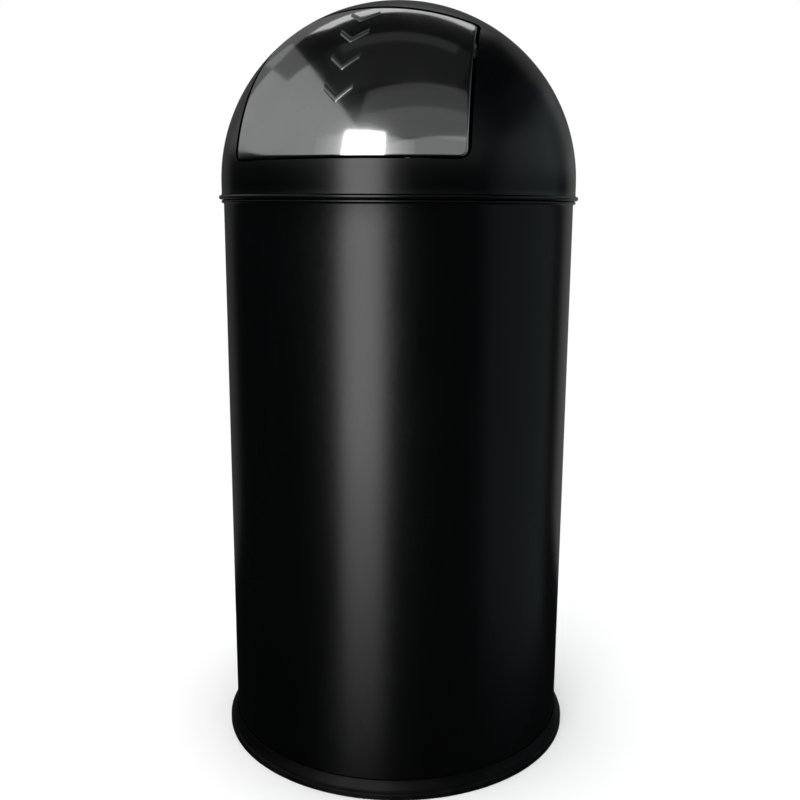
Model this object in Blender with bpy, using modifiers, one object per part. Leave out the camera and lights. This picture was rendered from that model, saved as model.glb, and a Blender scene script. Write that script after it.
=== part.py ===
"""Push-flap litter bin: steel drum, domed lid with a sprung flap, and a lift-out liner.

Metres, +Z up. The origin is the centre of the foot ring's underside, and the flap faces -Y.
"""
from math import atan, cos, pi, radians, sin

import bmesh
import bpy
from mathutils import Matrix, Vector

# ---- driving dimensions ----------------------------------------------------------------
SEGMENTS = 48               # sides of every turned piece, so that close neighbours stay parallel
SHEET = 0.001               # steel sheet
FIT = 0.0003                # gap between pieces that touch

BODY_RADIUS = 0.182         # outside of the drum
BODY_TOP = 0.5777           # top of the drum's rolled rim
RIM_RADIUS = 0.1845         # outside of the rolled rim
RIM_BEAD = 0.0016
RING_RADIUS = 0.190         # widest part of the foot ring
RING_HEIGHT = 0.0175
RING_BAND = 0.0058          # height of the ring's upright lower face
RING_COVE = ((0.1842, 0.0150), (0.1866, 0.0095), (0.1886, 0.0072))     # radius and height down its flare
RING_LEDGE = 0.005          # the drum stands on this step of the ring
RING_TOE = 0.019            # width of the ring's underside
PAN_CORNER = 0.003          # bend of the pressed floor's edge
PAN_EDGE = 0.005            # depth of its turned-down edge

DOME_RADIUS = 0.184         # outside of the lid's skirt
DOME_HEIGHT = 0.180         # the dome's rise over its springing line
DOME_SPRING = 0.5945        # height of the springing line
FLANGE_RADIUS = 0.187       # outside of the lid's rolled edge
FLANGE_LOW = 0.578
FLANGE_HIGH = 0.5825
COLLAR_TOP = 0.592          # the collar is welded inside the skirt
COLLAR_FOOT = 0.562         # and reaches this far down inside the drum
COLLAR_PLAY = 0.0006        # room between the collar and the drum

FLAP_BOTTOM = 0.6145        # the flap's lower edge is level
FLAP_SIDE_WIDTH = 0.0875    # half-width of the side planes at the bin's axis
FLAP_SIDE_SLOPE = 0.188     # how the side planes spread towards the front
FLAP_TOP_HEIGHT = 0.740     # height of the top corners
FLAP_TOP_FRONT = 0.049      # distance of the top corners in front of the axis
FLAP_TOP_SLOPE = 0.5        # the top edge rises towards the front
FLAP_LOW_CORNER = 0.009     # corner radii of the flap
FLAP_HIGH_CORNER = 0.005
FLAP_GAP = 0.002            # gap round the flap
FLAP_RIM = 0.007            # depth of the flap's turned-in edge

HINGE_FRONT = 0.058         # the flap's hinge axis, in front of the bin's axis
HINGE_HEIGHT = 0.716
ROD_RADIUS = 0.003
ROD_HALF = 0.1095
ROD_TIP = 0.0005            # chamfer on the rod's ends
BRACKET_X = 0.105           # middle of each bracket's plate
BRACKET_EYE = 0.008
PAD_REACH = 0.016           # how far each bracket's welded pad runs outwards
LUG_X = 0.093               # middle of each lug's plate
LUG_EYE = 0.009
PLATE = 0.002               # thickness of the brackets, lugs and ears
CAP_RADIUS = 0.005
CAP_WIDTH = 0.002
BUSH_RADIUS = 0.0049        # outside of the bushes in the lugs' eyes
BUSH_FLANGE = 0.0068
BUSH_FLANGE_WIDTH = 0.0015
BUSH_TAIL = 0.0012          # how far the bushes stand out inside the lugs

TAB_INSET = FLAP_RIM + FIT  # depth of the stop tabs behind the dome's outer face
TAB_SHEET = 0.0015
TAB_X = (0.062, 0.082)
TAB_Z = (0.598, 0.640)
PAD_Z = (0.600, 0.611)
PAD_MARGIN = 0.002          # the pads are this much narrower than the tabs on each side

SPRING_WIRE = 0.00075
SPRING_COIL = 0.006         # mean radius
SPRING_PITCH = 0.0026
SPRING_TURNS = 4
SPRING_X = 0.077            # where the coils start
LID_LEG_ANGLE = radians(-30)
LID_LEG = 0.027
FLAP_LEG_ANGLE = radians(130)
FLAP_LEG = 0.026

LINER_RADIUS = 0.170        # outside of the liner's wall at the top
LINER_FOOT_RADIUS = 0.164
LINER_BOTTOM = 0.0183
LINER_TOP = 0.545
LINER_RIM = 0.175           # outside of its rolled rim
LINER_ROLL = 0.0025
BAIL_HEIGHT = 0.5490        # pivot height of the liner's handle
BAIL_HALF_WIDTH = 0.172
BAIL_REACH = 0.125          # short enough to swing over inside the closed lid
BAIL_BEND = 0.004
BAIL_END = 0.1795           # its hooked ends, outside the ears
BAIL_WIRE = 0.00225
BAIL_PLAY = 0.0005
EAR_FACE = 0.1763           # inner face of the ear where the handle pivots
EAR_HALF_WIDTH = 0.012
EAR_FOOT = 0.504
EAR_JOGGLE = (0.5315, 0.5365)
EAR_TOP = 0.5560
RIVET_HEIGHTS = (0.511, 0.525)
RIVET_SHANK = 0.0020
RIVET_HEAD = 0.0038
RIVET_DOME = 0.0022         # height of the rivet's head
RIVET_TAIL = 0.0034
RIVET_CLENCH = 0.0012


# ---- scene and materials ---------------------------------------------------------------
for old_object in list(bpy.data.objects):
    bpy.data.objects.remove(old_object, do_unlink=True)

bin_collection = bpy.data.collections.new("litter_bin")
cutter_collection = bpy.data.collections.new("cutters")
bpy.context.scene.collection.children.link(bin_collection)
bpy.context.scene.collection.children.link(cutter_collection)


def finish(name, colour, roughness, metallic):
    """Make one Principled material."""
    material = bpy.data.materials.new(name)
    material.use_nodes = True
    shader = material.node_tree.nodes["Principled BSDF"]
    shader.inputs["Base Color"].default_value = (*colour, 1.0)
    shader.inputs["Roughness"].default_value = roughness
    shader.inputs["Metallic"].default_value = metallic
    return material


BLACK_PAINT = ("black_powder_coat", (0.012, 0.013, 0.014), 0.38, 0.0)
POLISHED_STEEL = ("polished_stainless", (0.62, 0.62, 0.61), 0.12, 1.0)
ZINC_STEEL = ("galvanised_steel", (0.45, 0.47, 0.48), 0.45, 1.0)
SPRING_STEEL = ("spring_steel", (0.36, 0.36, 0.36), 0.30, 1.0)
BLACK_RUBBER = ("black_rubber", (0.010, 0.010, 0.010), 0.60, 0.0)
NYLON = ("white_nylon", (0.70, 0.69, 0.65), 0.50, 0.0)


def place(name, mesh, look, matrix=None):
    """Put a finished piece in the bin's collection, with a material of its own."""
    piece = bpy.data.objects.new(name, mesh)
    bin_collection.objects.link(piece)
    mesh.materials.clear()
    mesh.materials.append(finish(f"{name}_{look[0]}", *look[1:]))
    if matrix is not None:
        piece.matrix_world = matrix
    return piece


def cutter(name, mesh):
    """An object that only trims other pieces, kept apart from the finished bin."""
    tool = bpy.data.objects.new(name, mesh)
    cutter_collection.objects.link(tool)
    tool.hide_render = True
    tool.display_type = "WIRE"
    return tool


def combine(piece, tool, operation):
    """Add an exact Boolean of a tool to a piece."""
    modifier = piece.modifiers.new(f"{operation.lower()}_{tool.name}", "BOOLEAN")
    modifier.operation = operation
    modifier.solver = "EXACT"
    modifier.object = tool


# ---- shape makers ----------------------------------------------------------------------
SIDES = (("left", -1), ("right", 1))
ALONG_X = Matrix.Rotation(pi / 2, 4, "Y")       # local Z points along world +X
WEDGE_ENDS = (0.030, 0.200)                     # how far in front of the axis the wedges run
DOME_STEPS = 12
DOME_SOLID_FLOOR = 0.55
WIRE_ROUNDNESS = 2
WELD_DISTANCE = 0.000005


def outward(side):
    """Matrix that turns local Z to point away from the bin's middle, along X."""
    return Matrix.Rotation(side * pi / 2, 4, "Y")


def on_hinge(turn_matrix):
    """Move a piece made at the origin onto the hinge's axis."""
    return Matrix.Translation((0.0, -HINGE_FRONT, HINGE_HEIGHT)) @ turn_matrix


def profile_mesh(name, profile, closed=True):
    """Make a wire mesh of (radius, height) points in the XZ plane."""
    count = len(profile)
    edges = [(i, (i + 1) % count) for i in range(count if closed else count - 1)]
    mesh = bpy.data.meshes.new(name)
    mesh.from_pydata([(radius, 0.0, height) for radius, height in profile], edges, [])
    return mesh


def mesh_from(name, bm):
    """Close a bmesh into a mesh with its normals outwards."""
    bmesh.ops.recalc_face_normals(bm, faces=bm.faces[:])
    mesh = bpy.data.meshes.new(name)
    bm.to_mesh(mesh)
    bm.free()
    return mesh


def turn(piece, segments):
    """Spin a profile once round its own Z axis."""
    screw = piece.modifiers.new("turned", "SCREW")
    screw.axis = "Z"
    screw.angle = 2 * pi
    screw.steps = segments
    screw.render_steps = segments
    screw.use_merge_vertices = True
    screw.merge_threshold = 0.00001
    screw.use_smooth_shade = True


def turned(name, profile, look, segments=SEGMENTS, matrix=None):
    """A turned piece. The profile runs down its outer side; one on the axis is left open there."""
    on_axis = profile[0][0] == 0.0
    piece = place(name, profile_mesh(name, profile, closed=not on_axis), look, matrix)
    turn(piece, segments)
    return piece


def arc(radius, start, end, steps, centre=(0.0, 0.0), rise=None):
    """Points on a circle, or on an ellipse whose height is rise, from start to end in degrees."""
    points = []
    for i in range(steps + 1):
        angle = radians(start + (end - start) * i / steps)
        points.append((centre[0] + radius * cos(angle), centre[1] + (rise or radius) * sin(angle)))
    return points


def dome_arc(inset):
    """The dome's outer face moved in by inset, from its crown to its springing line."""
    crown = arc(DOME_RADIUS - inset, 90, 0, DOME_STEPS, (0.0, DOME_SPRING), DOME_HEIGHT - inset)
    return [(0.0, crown[0][1]), *crown[1:]]


def dome_solid(name, inset):
    """The space under the dome's outer face, moved in by inset, as a cutter."""
    skirt = [(DOME_RADIUS - inset, DOME_SOLID_FLOOR), (0.0, DOME_SOLID_FLOOR)]
    tool = cutter(name, profile_mesh(name, dome_arc(inset) + skirt, closed=False))
    turn(tool, SEGMENTS)
    return tool


def wedge_section(front, grow):
    """The flap's outline at one distance in front of the axis, with rounded corners."""
    half = FLAP_SIDE_WIDTH + FLAP_SIDE_SLOPE * front + grow / cos(atan(FLAP_SIDE_SLOPE))
    low = FLAP_BOTTOM - grow
    high = FLAP_TOP_HEIGHT + FLAP_TOP_SLOPE * (front - FLAP_TOP_FRONT) + grow / cos(atan(FLAP_TOP_SLOPE))
    low_corner = FLAP_LOW_CORNER + grow
    high_corner = FLAP_HIGH_CORNER + grow
    points = arc(low_corner, -90, 0, 4, (half - low_corner, low + low_corner))
    points += arc(high_corner, 0, 90, 3, (half - high_corner, high - high_corner))
    points += arc(high_corner, 90, 180, 3, (high_corner - half, high - high_corner))
    points += arc(low_corner, 180, 270, 4, (low_corner - half, low + low_corner))
    return [Vector((x, -front, z)) for x, z in points]


def wedge_mesh(name, grow):
    """A wedge whose sides are the flap's edge planes, moved out by grow."""
    bm = bmesh.new()
    rings = []
    for distance in WEDGE_ENDS:
        verts = [bm.verts.new(point) for point in wedge_section(distance, grow)]
        rings += [bm.edges.new((verts[i - 1], verts[i])) for i in range(len(verts))]
    bmesh.ops.bridge_loops(bm, edges=rings)
    bmesh.ops.holes_fill(bm, edges=bm.edges[:])
    return mesh_from(name, bm)


def block_mesh(name, low, high):
    """A block between two corners."""
    bm = bmesh.new()
    size = Vector(high) - Vector(low)
    middle = (Vector(high) + Vector(low)) / 2
    bmesh.ops.create_cube(bm, size=1.0, matrix=Matrix.Translation(middle) @ Matrix.Diagonal((*size, 1.0)))
    return mesh_from(name, bm)


def pin_mesh(name, centres, radius, length, sides):
    """Round pins along X, one at each centre."""
    bm = bmesh.new()
    for centre in centres:
        bmesh.ops.create_cone(bm, cap_ends=True, segments=sides, radius1=radius, radius2=radius,
                              depth=length, matrix=Matrix.Translation(centre) @ ALONG_X)
    return mesh_from(name, bm)


def curve_mesh(name, curve, matrix):
    """Turn a curve into a closed mesh in world space."""
    guide = bpy.data.objects.new(name, curve)
    bin_collection.objects.link(guide)
    guide.matrix_world = matrix
    depsgraph = bpy.context.evaluated_depsgraph_get()
    mesh = bpy.data.meshes.new_from_object(guide.evaluated_get(depsgraph))
    bm = bmesh.new()
    bm.from_mesh(mesh)
    bmesh.ops.remove_doubles(bm, verts=bm.verts[:], dist=WELD_DISTANCE)
    bmesh.ops.transform(bm, matrix=matrix, verts=bm.verts[:])
    bm.to_mesh(mesh)
    bm.free()
    bpy.data.objects.remove(guide)
    return mesh


def flat_plate(name, outlines, thickness, matrix, look):
    """A flat plate: the first outline is its edge, the others are its holes."""
    curve = bpy.data.curves.new(name, "CURVE")
    curve.dimensions = "2D"
    curve.fill_mode = "BOTH"
    curve.extrude = thickness / 2
    for outline in outlines:
        spline = curve.splines.new("POLY")
        spline.points.add(len(outline) - 1)
        for point, (x, y) in zip(spline.points, outline):
            point.co = (x, y, 0.0, 1.0)
        spline.use_cyclic_u = True
    return place(name, curve_mesh(name, curve, matrix), look)


def wire(name, points, radius, look):
    """A round wire along points, with closed ends."""
    curve = bpy.data.curves.new(name, "CURVE")
    curve.dimensions = "3D"
    curve.bevel_depth = radius
    curve.bevel_resolution = WIRE_ROUNDNESS
    curve.use_fill_caps = True
    spline = curve.splines.new("POLY")
    spline.points.add(len(points) - 1)
    for point, place_at in zip(spline.points, points):
        point.co = (*place_at, 1.0)
    return place(name, curve_mesh(name, curve, Matrix.Identity(4)), look)


def hang(axis_name, axis_point, pieces):
    """Parent pieces to an empty that stands on their joint's axis."""
    axis = bpy.data.objects.new(axis_name, None)
    bin_collection.objects.link(axis)
    axis.location = axis_point
    for piece in pieces:
        piece.parent = axis
        piece.matrix_parent_inverse = Matrix.Translation(axis_point).inverted()


# ---- drum, base and foot ring ----------------------------------------------------------
def foot_ring():
    """Flared moulded ring that the drum stands in."""
    inside = BODY_RADIUS + FIT
    lip_foot = RING_RADIUS - RING_TOE
    return turned("foot_ring", [
        (inside + 0.0011, RING_HEIGHT),
        *RING_COVE,
        (RING_RADIUS, RING_BAND),
        (RING_RADIUS, 0.0008),
        (RING_RADIUS - 0.0006, 0.0),
        (lip_foot, 0.0),
        (lip_foot, RING_LEDGE),
        (inside, RING_LEDGE),
        (inside, RING_HEIGHT)], BLACK_RUBBER)


def body_shell():
    """Rolled sheet drum with an outward bead at its top."""
    inside = BODY_RADIUS - SHEET
    bead = arc(RIM_BEAD, 90, -60, 4, (RIM_RADIUS - RIM_BEAD, BODY_TOP - RIM_BEAD))
    return turned("body_shell", [
        (BODY_RADIUS - 0.0005, BODY_TOP),
        *bead,
        (BODY_RADIUS, BODY_TOP - 0.0035),
        (BODY_RADIUS, RING_LEDGE + FIT),
        (inside, RING_LEDGE + FIT),
        (inside, BODY_TOP - 0.0005)], BLACK_PAINT)


def base_pan():
    """Pressed floor with a turned-down edge that is welded inside the drum."""
    edge = BODY_RADIUS - SHEET - FIT
    floor_top = LINER_BOTTOM - FIT
    foot = floor_top - PAN_EDGE
    return turned("base_pan", [
        (0.0, floor_top),
        (edge - PAN_CORNER, floor_top),
        *arc(PAN_CORNER, 60, 0, 2, (edge - PAN_CORNER, floor_top - PAN_CORNER)),
        (edge, foot),
        (edge - SHEET, foot),
        (edge - SHEET, floor_top - PAN_CORNER),
        (edge - PAN_CORNER, floor_top - SHEET),
        (0.0, floor_top - SHEET)], BLACK_PAINT)


# ---- liner and its handle --------------------------------------------------------------
def liner_radius(height):
    """Outside of the liner's tapered wall at a height."""
    share = (height - LINER_BOTTOM) / (LINER_TOP - LINER_BOTTOM)
    return LINER_FOOT_RADIUS + (LINER_RADIUS - LINER_FOOT_RADIUS) * share


def ear_wall():
    """Distance from the bin's axis to the ears' riveted face."""
    return liner_radius(sum(RIVET_HEIGHTS) / 2) + 2 * FIT


def rivet_holes():
    """Holes for the ear rivets, right through the liner's wall and the ears."""
    centres = [(side * LINER_RADIUS, 0.0, height) for height in RIVET_HEIGHTS for _, side in SIDES]
    return cutter("rivet_holes", pin_mesh("rivet_holes", centres, RIVET_SHANK + FIT, 0.016, 12))


def liner_bucket(holes):
    """Tapered bucket with a rolled rim, which lifts out with the bag or rubbish."""
    roll = arc(LINER_ROLL, 90, -120, 5, (LINER_RIM - LINER_ROLL, LINER_TOP - LINER_ROLL))
    inner_foot = LINER_FOOT_RADIUS - SHEET
    profile = [
        (0.0, LINER_BOTTOM + SHEET),
        (inner_foot - 0.003, LINER_BOTTOM + SHEET),
        (inner_foot, LINER_BOTTOM + 0.0045),
        (LINER_RADIUS - SHEET, LINER_TOP - 0.0055),
        (LINER_RADIUS - SHEET, LINER_TOP),
        *roll,
        (LINER_RADIUS, LINER_TOP - 0.0055),
        (LINER_FOOT_RADIUS, LINER_BOTTOM + 0.004),
        (LINER_FOOT_RADIUS - 0.003, LINER_BOTTOM),
        (0.0, LINER_BOTTOM)]
    bucket = turned("liner_bucket", profile, ZINC_STEEL)
    combine(bucket, holes, "DIFFERENCE")
    return bucket


def liner_ears(holes):
    """Joggled ears that stand outside the rim and carry the handle."""
    wall = ear_wall()
    low_bend, high_bend = EAR_JOGGLE
    outline = [
        (wall, EAR_FOOT),
        (wall + PLATE, EAR_FOOT),
        (wall + PLATE, low_bend),
        (EAR_FACE + PLATE, high_bend),
        (EAR_FACE + PLATE, EAR_TOP),
        (EAR_FACE, EAR_TOP),
        (EAR_FACE, high_bend + FIT),
        (wall, low_bend + FIT)]
    upright = Matrix.Rotation(pi / 2, 4, "X")
    pivots = [(side * EAR_FACE, 0.0, BAIL_HEIGHT) for _, side in SIDES]
    bail_holes = cutter("bail_holes", pin_mesh("bail_holes", pivots, BAIL_WIRE + BAIL_PLAY, 0.012, 16))
    for name, side in SIDES:
        points = [(side * x, z) for x, z in outline]
        ear = flat_plate(f"liner_ear_{name}", [points], 2 * EAR_HALF_WIDTH, upright, ZINC_STEEL)
        combine(ear, holes, "DIFFERENCE")
        combine(ear, bail_holes, "DIFFERENCE")


def ear_rivets():
    """Round-head rivets, clenched inside the liner."""
    face = ear_wall() + PLATE + FIT
    for name, side in SIDES:
        for number, height in enumerate(RIVET_HEIGHTS, 1):
            tail = liner_radius(height) - SHEET - FIT
            where = Matrix.Translation((0.0, 0.0, height)) @ outward(side)
            turned(f"ear_rivet_{name}_{number}", [
                (0.0, face + RIVET_DOME),
                (0.6 * RIVET_HEAD, face + 0.7 * RIVET_DOME),
                (RIVET_HEAD, face),
                (RIVET_SHANK, face),
                (RIVET_SHANK, tail),
                (RIVET_TAIL, tail),
                (0.75 * RIVET_TAIL, tail - RIVET_CLENCH),
                (0.0, tail - RIVET_CLENCH)], ZINC_STEEL, 12, where)


def liner_handle():
    """Wire bail, lying back over the liner's mouth."""
    hook = [(BAIL_END, 0.0), (BAIL_HALF_WIDTH + BAIL_BEND + 0.001, 0.0)]
    hook += arc(BAIL_BEND, -90, -180, 3, (BAIL_HALF_WIDTH + BAIL_BEND, BAIL_BEND))[:-1]
    sweep = arc(BAIL_HALF_WIDTH, 2.0, 178.0, 26, (0.0, 0.0), BAIL_REACH)
    far_hook = [(-x, y) for x, y in reversed(hook)]
    points = [(x, y, BAIL_HEIGHT) for x, y in hook + sweep + far_hook]
    return wire("liner_handle", points, BAIL_WIRE, ZINC_STEEL)


# ---- lid -------------------------------------------------------------------------------
def lid_dome():
    """Spun dome with a short skirt, a rolled edge and the flap's opening."""
    edge_radius = (FLANGE_HIGH - FLANGE_LOW) / 2
    edge = arc(edge_radius, 80, -80, 5, (FLANGE_RADIUS - edge_radius, FLANGE_LOW + edge_radius))
    dome = turned("lid_dome", [
        *dome_arc(0.0),
        (DOME_RADIUS, FLANGE_HIGH + 0.001),
        *edge,
        (DOME_RADIUS - SHEET, FLANGE_LOW),
        *reversed(dome_arc(SHEET))], BLACK_PAINT)
    combine(dome, cutter("flap_opening", wedge_mesh("flap_opening", FLAP_GAP)), "DIFFERENCE")
    return dome


def lid_collar():
    """Inner ring, welded in the skirt, that centres the lid in the drum."""
    outer = BODY_RADIUS - SHEET - COLLAR_PLAY
    skirt = DOME_RADIUS - SHEET - FIT
    return turned("lid_collar", [
        (skirt, COLLAR_TOP),
        (skirt, 0.5835),
        (outer, 0.5810),
        (outer, COLLAR_FOOT),
        (outer - SHEET, COLLAR_FOOT),
        (outer - SHEET, 0.5816),
        (skirt - SHEET, 0.5841),
        (skirt - SHEET, COLLAR_TOP)], BLACK_PAINT)


def hinge_rod():
    """Straight rod that the flap swings on."""
    return turned("hinge_rod", [
        (0.0, ROD_HALF),
        (ROD_RADIUS - ROD_TIP, ROD_HALF),
        (ROD_RADIUS, ROD_HALF - ROD_TIP),
        (ROD_RADIUS, ROD_TIP - ROD_HALF),
        (ROD_RADIUS - ROD_TIP, -ROD_HALF),
        (0.0, -ROD_HALF)], POLISHED_STEEL, 16, on_hinge(ALONG_X))


def side_view(distance):
    """Matrix that stands a flat plate up, facing sideways, at a distance along X."""
    return Matrix.Translation((distance, 0.0, 0.0)) @ Matrix((
        (0.0, 0.0, -1.0, 0.0),
        (-1.0, 0.0, 0.0, 0.0),
        (0.0, 1.0, 0.0, 0.0),
        (0.0, 0.0, 0.0, 1.0)))


def hinge_brackets(under_dome):
    """Brackets that hang from the dome and hold the rod: an eye plate and a welded pad."""
    brackets = []
    pad_core = dome_solid("bracket_pad_core", SHEET + FIT + PLATE)
    for name, side in SIDES:
        eye = arc(BRACKET_EYE, 180, 360, 10, (HINGE_FRONT, HINGE_HEIGHT))
        outline = eye + [(HINGE_FRONT + 0.012, 0.745), (HINGE_FRONT - 0.012, 0.745)]
        bore = arc(ROD_RADIUS + FIT, 0, 360, 16, (HINGE_FRONT, HINGE_HEIGHT))[:-1]
        bracket = flat_plate(f"hinge_bracket_{name}", [outline, bore], PLATE,
                             side_view(side * BRACKET_X), BLACK_PAINT)
        low_x, high_x = sorted((side * (BRACKET_X - 0.0005), side * (BRACKET_X + PAD_REACH)))
        pad_name = f"bracket_pad_{name}"
        pad = cutter(pad_name, block_mesh(pad_name, (low_x, -HINGE_FRONT - 0.009, 0.700),
                                          (high_x, -HINGE_FRONT + 0.009, 0.750)))
        combine(pad, pad_core, "DIFFERENCE")
        combine(bracket, pad, "UNION")
        combine(bracket, under_dome, "INTERSECT")
        brackets.append(bracket)
    return brackets


def rod_clips():
    """Push-on caps that keep the rod in its brackets."""
    clips = []
    start = BRACKET_X + PLATE / 2 + FIT
    for name, side in SIDES:
        clips.append(turned(f"rod_clip_{name}", [
            (CAP_RADIUS - 0.0008, start + CAP_WIDTH),
            (CAP_RADIUS, start + CAP_WIDTH / 2),
            (CAP_RADIUS, start),
            (ROD_RADIUS + FIT, start),
            (ROD_RADIUS + FIT, start + CAP_WIDTH)], SPRING_STEEL, 16, on_hinge(outward(side))))
    return clips


# ---- flap ------------------------------------------------------------------------------
def flap_panel(dome_outside, rim_core):
    """Pressed stainless flap, flush with the dome, with its edges turned in."""
    flap = place("flap_panel", wedge_mesh("flap_panel", 0.0), POLISHED_STEEL)
    combine(flap, dome_outside, "INTERSECT")
    hollow = cutter("flap_hollow", wedge_mesh("flap_hollow", -SHEET))
    combine(hollow, dome_solid("flap_skin_core", SHEET), "INTERSECT")
    combine(flap, hollow, "DIFFERENCE")
    combine(flap, rim_core, "DIFFERENCE")
    return flap


def flap_lugs(under_dome):
    """Lugs behind the flap, with the eyes that turn on the rod."""
    room = cutter("lug_room", wedge_mesh("lug_room", -SHEET - FIT))
    lugs = []
    for name, side in SIDES:
        eye = arc(LUG_EYE, 200, 330, 8, (HINGE_FRONT, HINGE_HEIGHT))
        outline = eye + [(0.150, 0.688), (0.100, 0.760), (HINGE_FRONT - 0.008, 0.745)]
        bore = arc(BUSH_RADIUS + FIT, 0, 360, 16, (HINGE_FRONT, HINGE_HEIGHT))[:-1]
        lug = flat_plate(f"flap_lug_{name}", [outline, bore], PLATE, side_view(side * LUG_X), POLISHED_STEEL)
        combine(lug, under_dome, "INTERSECT")
        combine(lug, room, "INTERSECT")
        lugs.append(lug)
    return lugs


def hinge_bushes():
    """Flanged bushes between the lugs and the rod."""
    bushes = []
    flange = LUG_X + PLATE / 2 + FIT
    tail = LUG_X - PLATE / 2 - BUSH_TAIL
    bore = ROD_RADIUS + FIT
    for name, side in SIDES:
        bushes.append(turned(f"hinge_bush_{name}", [
            (BUSH_FLANGE, flange + BUSH_FLANGE_WIDTH),
            (BUSH_FLANGE, flange),
            (BUSH_RADIUS, flange),
            (BUSH_RADIUS, tail),
            (bore, tail),
            (bore, flange + BUSH_FLANGE_WIDTH)], NYLON, 16, on_hinge(outward(side))))
    return bushes


def flap_stops():
    """Tabs that reach behind the dome's edge, each with a rubber pad that meets the dome."""
    tab_core = dome_solid("tab_core", TAB_INSET + TAB_SHEET)
    tab_face = dome_solid("tab_face", TAB_INSET)
    pad_face = dome_solid("pad_face", SHEET + FIT)
    pad_core = dome_solid("pad_core", TAB_INSET - FIT)
    back, front = -0.120, -0.190
    pieces = []
    for name, side in SIDES:
        low_x, high_x = sorted(side * x for x in TAB_X)
        tab_name = f"stop_tab_{name}"
        tab = place(tab_name, block_mesh(tab_name, (low_x, front, TAB_Z[0]), (high_x, back, TAB_Z[1])),
                    POLISHED_STEEL)
        combine(tab, tab_face, "INTERSECT")
        combine(tab, tab_core, "DIFFERENCE")
        pad_name = f"stop_pad_{name}"
        pad = place(pad_name, block_mesh(pad_name, (low_x + PAD_MARGIN, front, PAD_Z[0]),
                                         (high_x - PAD_MARGIN, back, PAD_Z[1])), BLACK_RUBBER)
        combine(pad, pad_face, "INTERSECT")
        combine(pad, pad_core, "DIFFERENCE")
        pieces += [tab, pad]
    return pieces


def return_springs():
    """Torsion springs on the rod: one leg bears on the dome and the other on the flap."""
    springs = []
    sweep = 2 * pi * SPRING_TURNS + FLAP_LEG_ANGLE - LID_LEG_ANGLE
    steps = round(10 * sweep / (2 * pi))
    length = SPRING_PITCH * sweep / (2 * pi)
    for name, side in SIDES:
        coil = []
        for i in range(steps + 1):
            angle = LID_LEG_ANGLE + sweep * i / steps
            coil.append(Vector((side * (SPRING_X + length * i / steps),
                                SPRING_COIL * cos(angle) - HINGE_FRONT,
                                SPRING_COIL * sin(angle) + HINGE_HEIGHT)))
        lid_tip = coil[0] - Vector((0.0, sin(LID_LEG_ANGLE), -cos(LID_LEG_ANGLE))) * LID_LEG
        flap_tip = coil[-1] + Vector((0.0, -sin(FLAP_LEG_ANGLE), cos(FLAP_LEG_ANGLE))) * FLAP_LEG
        springs.append(wire(f"return_spring_{name}", [lid_tip, *coil, flap_tip], SPRING_WIRE, SPRING_STEEL))
    return springs


# ---- assembly --------------------------------------------------------------------------
foot_ring()
body_shell()
base_pan()

holes = rivet_holes()
liner_bucket(holes)
liner_ears(holes)
ear_rivets()
hang("handle_axis", (0.0, 0.0, BAIL_HEIGHT), [liner_handle()])

under_dome = dome_solid("under_dome", SHEET + FIT)
lid_pieces = [lid_dome(), lid_collar(), hinge_rod()]
lid_pieces += hinge_brackets(under_dome) + rod_clips() + return_springs()

flap_pieces = [flap_panel(dome_solid("dome_outside", 0.0), dome_solid("rim_core", FLAP_RIM))]
flap_pieces += flap_lugs(under_dome) + hinge_bushes() + flap_stops()

hang("lid_axis", (0.0, 0.0, FLANGE_LOW), lid_pieces)
hang("flap_axis", (0.0, -HINGE_FRONT, HINGE_HEIGHT), flap_pieces)
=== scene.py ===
from math import atan, cos, pi, radians, sin, sqrt, tan

import bmesh
import bpy
from mathutils import Matrix, Vector


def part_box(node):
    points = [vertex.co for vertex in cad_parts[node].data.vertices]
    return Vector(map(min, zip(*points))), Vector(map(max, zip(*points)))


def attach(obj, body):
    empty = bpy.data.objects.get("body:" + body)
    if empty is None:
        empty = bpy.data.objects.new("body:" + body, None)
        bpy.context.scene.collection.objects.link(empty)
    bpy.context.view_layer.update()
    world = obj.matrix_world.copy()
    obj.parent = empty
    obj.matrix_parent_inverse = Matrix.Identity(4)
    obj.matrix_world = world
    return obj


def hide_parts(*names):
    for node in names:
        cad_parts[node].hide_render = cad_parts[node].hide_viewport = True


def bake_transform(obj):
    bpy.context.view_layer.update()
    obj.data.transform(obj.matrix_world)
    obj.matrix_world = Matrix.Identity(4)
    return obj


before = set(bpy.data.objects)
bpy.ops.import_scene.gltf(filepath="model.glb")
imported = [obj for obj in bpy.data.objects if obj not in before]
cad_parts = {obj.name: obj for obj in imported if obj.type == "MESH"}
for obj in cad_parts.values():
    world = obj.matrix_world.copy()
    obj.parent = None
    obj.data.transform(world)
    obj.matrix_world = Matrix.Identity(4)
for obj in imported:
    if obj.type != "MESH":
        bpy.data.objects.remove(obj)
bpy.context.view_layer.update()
scene = bpy.context.scene
scene.view_settings.view_transform = "Standard"


# ---- Studio ----------------------------------------------------------------------------
# A pale floor that fades to a white backdrop, and panels of soft light round the bin. The key
# panel stands on the left of the camera, which looks slightly down from just under the lid.
CAMERA_TURN = radians(19.0)
CAMERA_DISTANCE = 1.0438
CAMERA_HEIGHT = 0.5695
CAMERA_TILT = radians(11.18)
CAMERA_ROLL = radians(0.3)
LENS = 43.5
CENTRE_SHIFT = 0.0031
LIGHT_CENTRE = Vector((0.0, 0.0, 0.60))
KEY_TURN = -21.0
KEY_DISTANCE = 1.6
KEY_HALF = 12.5
GLOW_STEP = 3.5
COOL_WHITE = (0.80, 0.95, 1.0)


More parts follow.
